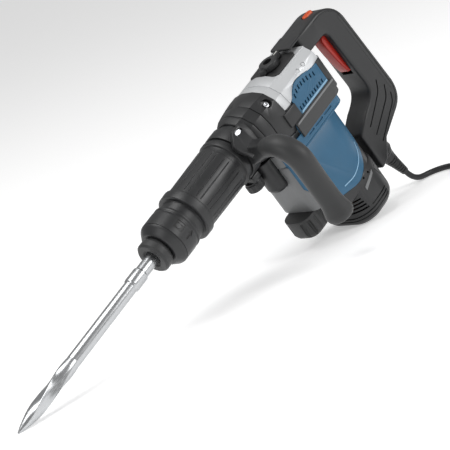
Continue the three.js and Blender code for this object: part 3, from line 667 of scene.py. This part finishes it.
def casting_marks():
    """Shallow cutters into the silver casting: a step line near its front, and a ring and an arc."""
    def core(less):
        return lengthwise([(-4, 43.5 - less, -34, GEAR_TOP - less, 6, 34),
                           (99, 42.5 - less, -34, GEAR_TOP - less, 6, 34)], FACETS)
    tools = [cut(block(13, 14.2, -60, 60, -30, 60), core(0.6))]
    for side in (-1, 1):
        ring = cut(side_disc(71.5, 0, 3.4, -60, -20), side_disc(71.5, 0, 2.2, -61, -19))
        arc = cut(side_disc(58.5, 0, 3, -60, -20), side_disc(58.5, 0, 1.9, -61, -19),
                  block(50, 58, -61, -19, -6, 6))
        mark = turned(join(ring, arc), 27)
        if side > 0:
            mark.data.transform(Matrix.Scale(-1, 4, (0, 1, 0)))
            mark = facing_out(mark)
        tools.append(cut(mark, core(0.7)))
    return tools


def hood():
    outer = lengthwise([
        (-58, 35.6, -35.6, 35.6, 35, 35), (-57, 36.5, -36.5, 36.6, 35.5, 36),
        (-50, 38.5, -37, 38, 34, 35), (-40, 39.8, -37.4, 38.6, 28, 34.5),
        (-30, 40.8, -37.6, 39, 22, 34), (-14, 42.6, -37.6, 38.9, 17, 33.5),
        (-AIR, 43.5, -37.6, 38, 14, 33),
    ], FACETS)
    inner = lengthwise([
        (-54, 30, -30, 30, 29, 29), (-24, 36, -40, 34, 10, 31), (2, 39.4, -40, 34, 10, 31),
    ], 12)
    tabs = [rounded_edges(block(-8, 18, y0, y1, BAND_TOP + 0.4, -1), 1.2)
            for y0, y1 in ((-46.2, -40), (40, 46.2))]
    steps = [cut(
        lengthwise([(x, 50, -50, 50, 20, 20), (x + 1.2, 50, -50, 50, 20, 20)], 8),
        lengthwise([(x - 1, half, 1.6 - half, half - 0.6, half - 4, half - 4),
                    (x + 2.2, half, 1.6 - half, half - 0.6, half - 4, half - 4)], FACETS),
    ) for x, half in ((-47, 38), (-30, 39.9))]
    posts = [turned(side_disc(SCREW_X, 0, 9.4, side * 38 - 4, side * 38 + 4), -side * SCREW_LEAN)
             for side in (-1, 1)]
    seats = [turned(side_disc(SCREW_X, 0, 7, side * 50 - 12, side * 50 + 12), -side * SCREW_LEAN)
             for side in (-1, 1)]
    neck = spin([(-70, 0), (-70, NECK_R + 0.4), (-40, NECK_R + 0.4), (-40, 0)], radius=0)
    shell = cut(outer, inner, *steps, neck)
    whole = cut(join(shell, *tabs, *posts), *seats)
    piece(rounded_edges(whole, 0.5, 40), "neck_hood_shell", "charcoal_plastic", "housing", ["neck_hood"],
          sharp=24)
    for side, name in ((-1, "left"), (1, "right")):
        head = side_disc(SCREW_X, 0, 4, side * 39 - 1.6, side * 39 + 1.6)
        socket = side_disc(SCREW_X, 0, 1.9, side * 41 - 1.6, side * 41 + 1.6, steps=6)
        screw = turned(rounded_edges(cut(head, socket), 0.4), -side * SCREW_LEAN)
        piece(screw, f"socket_screw_{name}", "bright_steel", "housing", [f"hood_screw_{name}"])


LOUVRE_TOPS = (6.5, 9.5, 11, 11, 10.5, 9, 7, 5)


def louvre(x, low, high):
    """A cutter for one slanting slit through both side covers."""
    return plate([(x, low), (x + 2.6, low), (x + 3.4, high), (x + 0.8, high)], -60, 60)


def side_covers():
    ring = cut(
        upright(0.4, 102, UPPER_HALF, 3, 12, [(-37.6, 0), (30, 0)]),
        upright(-6, 98.5, UPPER_HALF - 3, 1, 9, [(-40, 0), (40, 0)]),
        above(SILVER_EDGE, -0.4),
        block(-10, 18.4, -50, 50, BAND_TOP, 5),
    )
    louvres = []
    for i, top in enumerate(LOUVRE_TOPS):
        louvres.append(louvre(25 + 6.6 * i, top - 7, top - 0.6))
    for i in range(10):
        louvres.append(louvre(22 + 6 * i, -17.6, -12.4))
    covers = cut(copy(ring), block(86, 120, -60, 60, -60, 60), *louvres)
    for name, half in (("left", (0, 60)), ("right", (-60, 0))):
        shell = cut(copy(covers), block(-20, 120, *half, -60, 60))
        piece(rounded_edges(shell, 0.35), f"vented_cover_{name}", "housing_blue", "housing",
              [f"side_cover_{name}"])
    bpy.data.objects.remove(covers)
    # Painted highlight: a thin light blue strip stands for the light caught by the chamfer along the covers' lower
    # edge.
    for name, (y0, y1) in (("left", (-44.3, -43.6)), ("right", (43.6, 44.3))):
        strip = plate([(20, -21.4), (85, -21.4), (85, -18.6), (22.5, -18.6)], y0, y1)
        piece(rounded_edges(strip, 0.25), f"painted_chamfer_highlight_{name}", "light_blue", "housing")
    back = cut(ring, block(-20, 86.4, -60, 60, -60, 60))
    piece(rounded_edges(back, 0.6), "rear_closure", "charcoal_plastic", "housing", ["rear_cover"])


def bumper():
    band = cut(
        upright(-20, 99, 47, 6, 18, [
            (BAND_BOTTOM, 1.4), (BAND_BOTTOM + 1.4, 0), (BAND_TOP - 3.2, 0), (BAND_TOP, 2.6),
        ]),
        upright(-30, 102.3, UPPER_HALF + AIR, 3, 12, [(-37.9, 0), (0, 0)]),
        upright(-30, 94.3, UPPER_HALF + AIR, 6, 18, [(-60, 0), (-30, 0)]),
        block(-40, 0, -80, 80, -60, 0),
    )
    piece(rounded_edges(band, 0.5), "soft_bumper", "band_grey", "housing", ["bumper_band"])
    # Painted highlight: a lighter grey strip stands for the light falling on the chamfer along the bumper's top
    # edge.
    for name, (y0, y1) in (("left", (-47.4, -46)), ("right", (46, 47.4))):
        highlight_strip = plate([(1, -26), (91, -26), (91, -23.4), (3, -23.4)], y0, y1)
        piece(rounded_edges(highlight_strip, 0.4), f"bumper_painted_highlight_{name}", "cover_grey", "housing")


def lower_outer(grow=0):
    return join(
        upright(-44 - grow, 94 + grow, UPPER_HALF + grow, 25, 18, [(-57, 0), (-38, 0)]),
        upright(-44 - grow, 88 + grow, 45 + grow, 25, 45, [
            (-165, 5), (-160, 1), (-156, 0), (-61, 0), (-56, 3),
        ], 14),
        upright(3 - grow, 92 + grow, 46 + grow, 30, 46, [
            (BASE_Z, 7), (BASE_Z + 0.8, 5.2), (BASE_Z + 2, 4), (BASE_Z + 6, 1.2), (BASE_Z + 11, 0),
            (-150, 0), (-146, 2),
        ], 14),
    )


def lower_shell():
    return cut(
        lower_outer(),
        upright(-40, 84, 41, 22, 41, [(-156, 0), (-20, 0)]),
        upright(7, 86, 42, 26, 42, [(BASE_Z + 5, 2), (-150, 0)]),
    )


def cover_area(grow, bottom):
    """The outline of the grey front cover, or with grow of the room left for it."""
    return plate([
        (-90, -38.5 + 20 * grow), (-41.2 + grow, -38.5 + 20 * grow), (-41.2 + grow, -98 + grow / 4),
        (-33 + 0.8 * grow, -119 + 0.8 * grow), (-14 + 1.5 * grow, -124 + grow / 2), (-22 + grow, bottom),
        (-90, bottom),
    ], -80, 80)


def boss_room():
    return spin([(-87.6, 0), (-87.6, 9.8), (-85.4, 13.4), (-80.2, 16.4), (0, 16.4), (0, 0)], upright=True,
                centre=(BOSS_X, 0), radius=1, steps=64)


def motor_housing():
    slots = []
    for x0, x1 in ((10, 22), (26, 44), (48, 66)):
        slots += both_sides(lambda y0, y1, a=x0, b=x1: block(a, b, y0, y1, -49.6, -47.2),
                            UPPER_HALF - 1.5, 60)
    seam = both_sides(lambda y0, y1: ribbon([(-30, -54.6), (94, -54.6)], 0.8, y0, y1), UPPER_HALF - 0.7, 60)
    body = cut(lower_shell(), cover_area(0.4, -240), below(CAP_EDGE, 0.2), boss_room(), *slots, *seam)
    piece(rounded_edges(body, 0.6), "blue_motor_casing", "housing_blue", "housing", ["motor_housing"])
    arc = [(66, -112), (58, -124), (45, -134), (28, -139.5), (6, -137)]
    for name, (y0, y1) in HALVES:
        line = overlap(lower_outer(0.25), ribbon(curve(arc, 6), 1.3, y0, y1))
        hollow = cut(line, lower_outer(-0.4))
        piece(hollow, f"trim_line_{name}", "light_blue", "housing")


def end_cap():
    vents = []
    for i in range(4):
        z = -166 - 5.5 * i
        vents.append(plate([(-2 + i, z), (18 + i, z - 3), (18 + i, z - 5.6), (-2 + i, z - 2.6)], -80, 80))
    ridges = []
    for z in (-188, -193, -198, -203):
        ridges.append(cut(
            upright(-5, 110, 60, 30, 46, [(z - 1.1, 0), (z + 1.1, 0)], 6),
            upright(4.6, 90.4, 44.4, 28.6, 44.6, [(z - 3, 0), (z + 3, 0)], 14),
            block(62, 120, -80, 80, z - 4, z + 4),
            block(-20, 26, -80, 80, z - 4, z + 12) if z > -190 else block(-20, 2, -80, 80, z - 4, z + 4),
        ))
    holes = []
    for x in (38.5, 50.3):
        holes += both_sides(lambda y0, y1, x=x: side_disc(x, -152.7, 1.8, y0, y1, 16), 42, 60)
    frame_line = [(66, -160), (80, -150), (84, -166), (72, -176), (66, -160)]
    holes += both_sides(lambda y0, y1: ribbon(frame_line, 1.4, y0, y1), 33, 60)
    body = cut(lower_shell(), cover_area(0.4, -240), above(CAP_EDGE, -0.2, 200), *vents, *ridges, *holes)
    seat = spin([(-204, 11.3), (-204, 16), (-175, 16), (-175, 11.3)], upright=True,
                centre=(MOTOR_X, 0), closed=True, radius=0)
    body = cut(join(body, seat), block(97, 120, -40, 40, -260, -80))
    piece(rounded_edges(body, 0.5), "vented_end_cap", "charcoal_plastic", "housing", ["end_cap"])
    for name, (y0, y1) in HALVES:
        strip = plate([(31, -168), (56, -159.4), (58, -154.6), (31.5, -162.6)], y0, y1)
        bar = overlap(lower_outer(0.8), strip)
        piece(rounded_edges(cut(bar, lower_outer(-0.4)), 0.3), f"cap_rib_{name}", "cover_grey", "housing")


def front_end():
    scoop = cut(
        spin([(-92, 0), (-92, 20), (-38.5, 20), (-38.5, 0)], upright=True, centre=(BOSS_X, 0), radius=1,
             steps=64),
        block(-80, -43, -40, 40, -100, 0),
    )
    body = cut(join(overlap(lower_shell(), cover_area(0, -133)), scoop), boss_room())
    piece(rounded_edges(body, 0.8), "grey_front_cover", "cover_grey", "housing", ["front_cover"])
    piece(spin([(-87, 0), (-87, 9.5), (-85, 13), (-80, 16), (-38.3, 16), (-38.3, 9), (-76, 9), (-76, 0)],
               upright=True, centre=(BOSS_X, 0), radius=1.2, steps=64),
          "front_socket", "charcoal_plastic", "housing", ["front_boss"])
    grooves = []
    for degrees in (-150, -125, -100, -75, 75, 100, 125, 150):
        angle = math.radians(degrees)
        place = (-43 + 25 * math.cos(angle), 25.5 * math.sin(angle))
        grooves.append(spin([(-163, 0), (-161, 2.6), (-138, 2.6), (-136, 0)], upright=True, centre=place,
                            steps=20))
    foot = upright(-66, -22.2, 24, 18, 12, [(-165, 7), (-164, 5), (-162, 2.5), (-157, 0), (-133.3, 0)])
    piece(rounded_edges(cut(foot, *grooves), 0.7), "rubber_foot", "soft_grip", "housing", ["front_foot"])


# ---------------------------------------------------------------- selector, handle and controls
def selector():
    panel = cut(
        upright(33.5, 82.5, 26.4, 7, 6, [(30.8, 0), (33.4, 0)]),
        spin([(28, 0), (28, 9.4), (40, 9.4), (40, 0)], upright=True, centre=(SELECTOR_X, 0)),
    )
    piece(rounded_edges(panel, 0.4), "selector_well", "black_plastic", "housing", ["top_panel"])
    knob = join(
        spin([(33.8, 0), (33.8, 14), (41.5, 14), (43, 12.6), (43, 0)], upright=True,
             centre=(SELECTOR_X, 0), radius=0.8),
        spin([(27, 0), (27, 9), (34, 9), (34, 0)], upright=True, centre=(SELECTOR_X, 0)),
        upright(35, 80, 4.5, 4, 4, [(35, 0), (40.7, 0), (41.5, 0.8)]),
    )
    well = spin([(36, 0), (36, 6.5), (50, 6.5), (50, 0)], upright=True, centre=(SELECTOR_X, 0), radius=0,
                steps=48)
    piece(rounded_edges(cut(knob, well), 0.4), "selector_dial", "charcoal_plastic", "selector",
          ["selector_knob"])
    pointer = upright(70.5, 79, 0.8, 0.7, 0.7, [(41.2, 0), (41.75, 0)])
    piece(pointer, "selector_pointer", "module_white", "selector")


def bezier(a, b, c, d, steps=12):
    line = []
    for i in range(1, steps + 1):
        t = i / steps
        line.append(tuple(
            (1 - t) ** 3 * p + 3 * t * (1 - t) ** 2 * q + 3 * t * t * (1 - t) * r + t ** 3 * s
            for p, q, r, s in zip(a, b, c, d)
        ))
    return line


HANDLE_BACK = (
    [(148, 39.5)] + bezier((148, 39.5), (168, 39.5), (188, 28), (192, 6))
    + bezier((199, -108), (200, -132), (192, -144), (172, -150))
)
HANDLE_OUTLINE = (
    [(102.4, 10), (102.4, 39.5)] + HANDLE_BACK
    + [(134, -163), (114, -184), (97.4, -188), (97.4, -128), (128, -112)]
    + bezier((128, -112), (146, -106), (158, -100), (157, -84)) + [(152, 0)]
    + bezier((152, 0), (151, 8), (146, 10), (138, 10))
)
OUTLET = Vector((124, 0, -173.5))
OUTLET_WAY = Vector((0.277, 0, -0.961)).normalized()
OUTLET_TURN = Vector((1, 0, 0)).rotation_difference(OUTLET_WAY).to_matrix().to_4x4()
OUTLET_PLACE = Matrix.Translation(OUTLET) @ OUTLET_TURN


def spin_outlet(profile, radius=0.5):
    body = spin(profile, radius=radius, steps=64, closed=profile[0][1] > 0)
    body.data.transform(OUTLET_PLACE)
    return body


def handle_grooves():
    """The line just inside the handle's rim, and the three broad ribs beside the lower end of the grip."""
    rim = [
        (140, 35), (160, 34), (177, 24), (185.6, 6), (192.4, -108), (191, -126), (183, -137), (168, -143.5),
    ]
    grooves = both_sides(lambda y0, y1: ribbon(curve(rim, 5), 0.9, y0, y1), HANDLE_HALF - 0.8, 40)
    for leg in (
        [(174, -94), (166, -106), (155, -113), (119, -131)],
        [(181, -109), (172, -122), (159, -129), (120, -146)],
        [(183, -124), (176, -135), (162, -142), (123, -160)],
    ):
        grooves += both_sides(lambda y0, y1, leg=leg: ribbon(curve(leg, 5), 2.2, y0, y1),
                              HANDLE_HALF - 1.3, 40)
    return grooves


def handle():
    lip = upright(83, 112, HANDLE_HALF, 4, 2, [(GEAR_TOP + 0.4, 0), (38.5, 0), (39.5, 1)])
    boss = spin_outlet([(-14, 0), (-14, 15.5), (7.5, 15.5), (9, 14), (9, 0)])
    whole = join(rounded_edges(plate(HANDLE_OUTLINE, -HANDLE_HALF, HANDLE_HALF), 4.2, 40, 4), lip, boss)
    pad = plate([(181, 12), (240, 12), (240, -122), (188, -122)], -40, 40)
    rooms = [
        plate([(180.7, 12.3), (240, 12.3), (240, -122.3), (187.7, -122.3)], -40, 40),
        plate([(157, 8), (174, 16), (177, -98), (161, -92)], -14, 14),
        plate([(116, -134), (158, -118), (158, -136), (116, -154)], -14, 14),
        plate([(158, -95), (172, -95), (168, -130), (150, -130)], -6, 6),
        plate([(138, 11.2), (166, 11.2), (170, -66), (145, -66)], -10, 10),
        upright(145.6, 166.4, 6.2, 5.8, 5.8, [(20, 0), (60, 0)]),
        spin_outlet([(-3, 0), (-3, 9.3), (20, 9.3), (20, 0)]),
    ]
    soft = cut(overlap(copy(whole), pad), *handle_grooves(), *grip_ribs())
    piece(rounded_edges(soft, 0.5), "grip_back_pad", "soft_grip", "housing", ["grip_pad"])
    body = cut(whole, *rooms, *handle_grooves())
    for name, half in (("left", (0.15, 60)), ("right", (-60, -0.15))):
        shell = cut(copy(body), block(50, 250, *half, -260, 100))
        piece(rounded_edges(shell, 0.3), f"handle_shell_{name}", "charcoal_plastic", "housing",
              [f"handle_{name}"])
    bpy.data.objects.remove(body)


def grip_ribs():
    """Grooves across the back of the handle, where the palm rests."""
    ribs = []
    for i in range(13):
        z = -110 + 9 * i
        back = 192.3 + (6 - z) * 7 / 114
        ribs.append(block(back - 1, 240, -12, 12, z, z + 1.8))
    return ribs


def controls():
    blade = plate(
        [(151, 8), (145.6, 5)] + bezier((145.6, 5), (143, 0), (143.4, -6), (144.4, -14), 6)
        + bezier((144.4, -14), (146, -30), (149, -50), (153.6, -60), 8) + [(159, -62), (161, -54), (158, 6)],
        -9, 9,
    )
    piece(rounded_edges(blade, 2.4, 32, 4), "trigger_blade", "trigger_red", "trigger", ["trigger"])
    button = upright(147, 165, 5, 4.9, 4.9, [(24, 0), (39, 0), (40.1, 0.6), (40.6, 1.8)], 12)
    dimples = [spin([(40, 0), (40, 0.8), (44, 0.8), (44, 0)], upright=True,
                    centre=(150 + 3 * i, 1.7 * j), steps=12, radius=0)
               for i in range(5) for j in (-1, 1)]
    piece(cut(button, *dimples), "lock_on_button", "button_orange", "lock_button", ["lock_button"])


# ---------------------------------------------------------------- side handle
def sweep(stations, steps=6, around=48):
    """A body along a line at SIDE_X. Each station is (y, z, half width, half height, squareness)."""
    line = curve(stations, steps)
    rings = []
    for i, (y, z, wide, high, power) in enumerate(line):
        ahead, behind = line[min(i + 1, len(line) - 1)], line[max(i - 1, 0)]
        way = Vector((0, ahead[0] - behind[0], ahead[1] - behind[1])).normalized()
        normal = way.cross(Vector((1, 0, 0)))
        ring = []
        for k in range(around):
            angle = 2 * math.pi * k / around
            c, s = math.cos(angle), math.sin(angle)
            a = wide * math.copysign(abs(c) ** (2 / power), c)
            b = high * math.copysign(abs(s) ** (2 / power), s)
            ring.append(Vector((SIDE_X + a, y, z)) + normal * b)
        rings.append(ring)
    return skin(rings)


LUG = [
    (-94, -6), (-94, 3), (-86, 10), (-78, 17), (-64, 17), (-56, 13), (-58, -2), (-66, -24), (-86, -24),
]


def oval(x, z, wide, high, y0, y1):
    """An oval disc, flat to the side."""
    points = []
    for i in range(32):
        angle = 2 * math.pi * i / 32
        points.append((x + wide * math.cos(angle), z + high * math.sin(angle)))
    return plate(points, y0, y1)


def side_handle():
    band = join(
        spin([(-85, NECK_R + 0.7), (-85, 37), (-67, 37), (-67, NECK_R + 0.7)], closed=True, steps=128),
        rounded_edges(block(-84, -68, -13, 13, -45, -36.5), 1.5),
    )
    hollow = spin([(-100, 0), (-100, NECK_R + 0.7), (-50, NECK_R + 0.7), (-50, 0)], radius=0, steps=128)
    bore = spin([(-50, 0), (-50, 4.4), (-30, 4.4), (-30, 0)], upright=True, centre=(SIDE_X, 0), radius=0,
                steps=32)
    band = cut(band, hollow, block(-90, -60, -1.5, 1.5, -60, -30), bore)
    piece(rounded_edges(band, 0.4), "neck_clamp", "charcoal_plastic", "side_handle", ["clamp_band"])
    root = join(
        sweep([(-34, -1, 9.4, 15, 7), (-46, 1, 9.4, 13.5, 7), (-56, 3, 9.6, 11.4, 6),
               (-66, 4.4, 10, 10.4, 5), (-78, 5.2, 10.5, 10.5, 3.4)]),
        turned(rounded_edges(plate(LUG, -46, -37), 1.6, 20, 3), LUG_LEAN),
        sweep([(-104, -3, 7, 7, 2), (-111.8, -18, 7, 7, 2), (SIDE_Y, -60, 7, 7, 2),
               (SIDE_Y, -109, 7, 7, 2)]),
        sweep([(-76, 5, 8, 8, 2.2), (-90, 4.4, 7.5, 7.5, 2), (-104, -3, 7, 7, 2)]),
    )
    ring = spin([(-100, 0), (-100, 37.3), (-50, 37.3), (-50, 0)], radius=0, steps=128)
    eye = turned(oval(-72, 10, 6.6, 3.6, -60, -42), LUG_LEAN)
    notches = [block(x, x + 3.4, -64, -36, -20, -8.5) for x in (-83, -77.4, -71.8)]
    piece(turned(oval(-72, 10, 5.6, 2.7, -43.6, -40), LUG_LEAN), "clamp_eye", "bright_steel", "side_handle")
    core = rounded_edges(cut(root, ring, eye, *notches), 0.5)
    piece(core, "side_handle_core", "charcoal_plastic", "side_handle", ["side_handle_arm"])
    soft = sweep([
        (-66, 4, 11.3, 11.3, 3), (-74, 5.2, 12.4, 12, 2.6), (-84, 5.8, 14.4, 13, 2.3),
        (-94, 3, 15.8, 14.2, 2.1),
        (-104, -5, 16.4, 15.2, 2), (-110.4, -15.5, 16.4, 15.8, 2), (SIDE_Y, -27, 16.2, 15.8, 2),
        (SIDE_Y, -40, 15.8, 15.6, 2), (SIDE_Y, -60, 15.5, 15.5, 2), (SIDE_Y, -76, 15.5, 15.5, 2),
        (SIDE_Y, -90, 15.8, 15.8, 2), (SIDE_Y, -101, 17.2, 17.2, 2.1), (SIDE_Y, -109, 18.6, 18.6, 2.2),
        (SIDE_Y, -114.5, 18, 18, 2.2), (SIDE_Y, -117.8, 15.6, 15.6, 2.2), (SIDE_Y, -119, 11, 11, 2.1),
    ], 5, 64)
    channel = sweep([(-60, 3, 10.9, 10.9, 3.4), (-76, 5, 10.9, 10.9, 3.4), (-79, 5.2, 10.9, 10.9, 3.4)])
    tunnel = sweep([
        (-78, 5, 8.4, 8.4, 2.2), (-90, 4.4, 7.9, 7.9, 2), (-104, -3, 7.4, 7.4, 2),
        (-111.8, -18, 7.4, 7.4, 2), (SIDE_Y, -60, 7.4, 7.4, 2), (SIDE_Y, -110, 7.4, 7.4, 2),
    ])
    piece(cut(soft, channel, tunnel), "side_grip_rubber", "soft_grip", "side_handle", ["side_handle_grip"])
    clamp_knob()


def clamp_knob():
    flutes = []
    for i in range(12):
        angle = 2 * math.pi * i / 12
        place = (SIDE_X + 13.6 * math.cos(angle), 13.6 * math.sin(angle))
        flutes.append(spin([(-66, 0), (-66, 2.1), (-48, 2.1), (-46, 0)], upright=True, centre=place,
                           steps=16))
    knob = spin([
        (-60, 0), (-60, 9.5), (-58, 12.5), (-48.6, 12.5), (-47, 11), (-45.4, 11), (-45.4, 0),
    ], upright=True, centre=(SIDE_X, 0), steps=64, radius=0.9)
    bore = spin([(-57.4, 0), (-57.4, 4.2), (-40, 4.2), (-40, 0)], upright=True, centre=(SIDE_X, 0), radius=0,
                steps=32)
    piece(rounded_edges(cut(knob, bore, *flutes), 0.3), "fluted_clamp_knob", "charcoal_plastic", "clamp_knob",
          ["clamp_knob"])


# ---------------------------------------------------------------- on the cord
PLUG = Vector((0.4755, -0.1435, 0.0186))
PLUG_PLACE = Matrix.Translation(PLUG) @ Matrix.Scale(MM, 4)


def strain_relief():
    body = spin_outlet([
        (-2.7, 0), (-2.7, 9), (9.3, 9), (9.3, 13.5), (11.5, 13.5), (14, 11.9), (24, 9.7), (36, 7.9),
        (59, 5.5), (59, 0),
    ], 1.0)
    rings = []
    for i in range(7):
        s = 24 + 4.6 * i
        r = 9.7 - (s - 24) * 0.125
        for turn in (0, 1):
            ring = spin([(s, r - 1.3), (s, r + 4), (s + 1.6, r + 4), (s + 1.6, r - 1.3)], radius=0,
                        steps=48, closed=True)
            gap = block(s - 1, s + 3, -20, 20, -1.6, 1.6) if turn else block(s - 1, s + 3, -1.6, 1.6, -20, 20)
            half = block(s - 1, s + 3, -30, 30, -30, 0) if turn else block(s - 1, s + 3, -30, 30, 0, 30)
            cutter = cut(ring, gap, half)
            cutter.data.transform(OUTLET_PLACE)
            rings.append(cutter)
    piece(cut(body, *rings), "bend_relief", "cord_rubber", "housing", ["strain_relief"])


def plug():
    body = spin([
        (-22, 0), (-22, 5), (-6, 8), (0, 16), (4, 17.4), (22, 18.5), (30, 18.5), (30, 0),
    ], radius=1.4)
    grips = []
    for i in range(4):
        x = -18 + 3.4 * i
        floor = 5.1 + 0.19 * (x + 22) - 0.9
        grips.append(spin([(x, floor), (x, 20), (x + 1.3, 20), (x + 1.3, floor)], radius=0, closed=True,
                          steps=48))
    flats = [block(2, 26, *sides, -30, 30) for sides in ((-30, -16.6), (16.6, 30))]
    shell = rounded_edges(cut(body, *grips, *flats), 0.5)
    piece(shell, "plug_shell", "cord_rubber", "housing", ["plug_body"], PLUG_PLACE)
    for side, name in ((-1, "left"), (1, "right")):
        pin = spin([(30.3, 0), (30.3, 2.4), (47, 2.4), (48.4, 1.7), (49, 0)], centre=(side * 9.5, 0),
                   steps=32, radius=0.8)
        piece(pin, f"round_pin_{name}", "bright_steel", "housing", [f"plug_pin_{name}"], PLUG_PLACE)


camera()
studio()
cord()
chisel()
nose()
barrel()
gear_housing()
hood()
side_covers()
bumper()
motor_housing()
end_cap()
front_end()
selector()
handle()
controls()
side_handle()
strain_relief()
plug()

slots = {row["node"]: row["material_slot"] for row in frame["record"]["subparts"]}
for name, node in frame["nodes"].items():
    node.data.materials.clear()
    node.data.materials.append(MATERIALS[slots[name]])
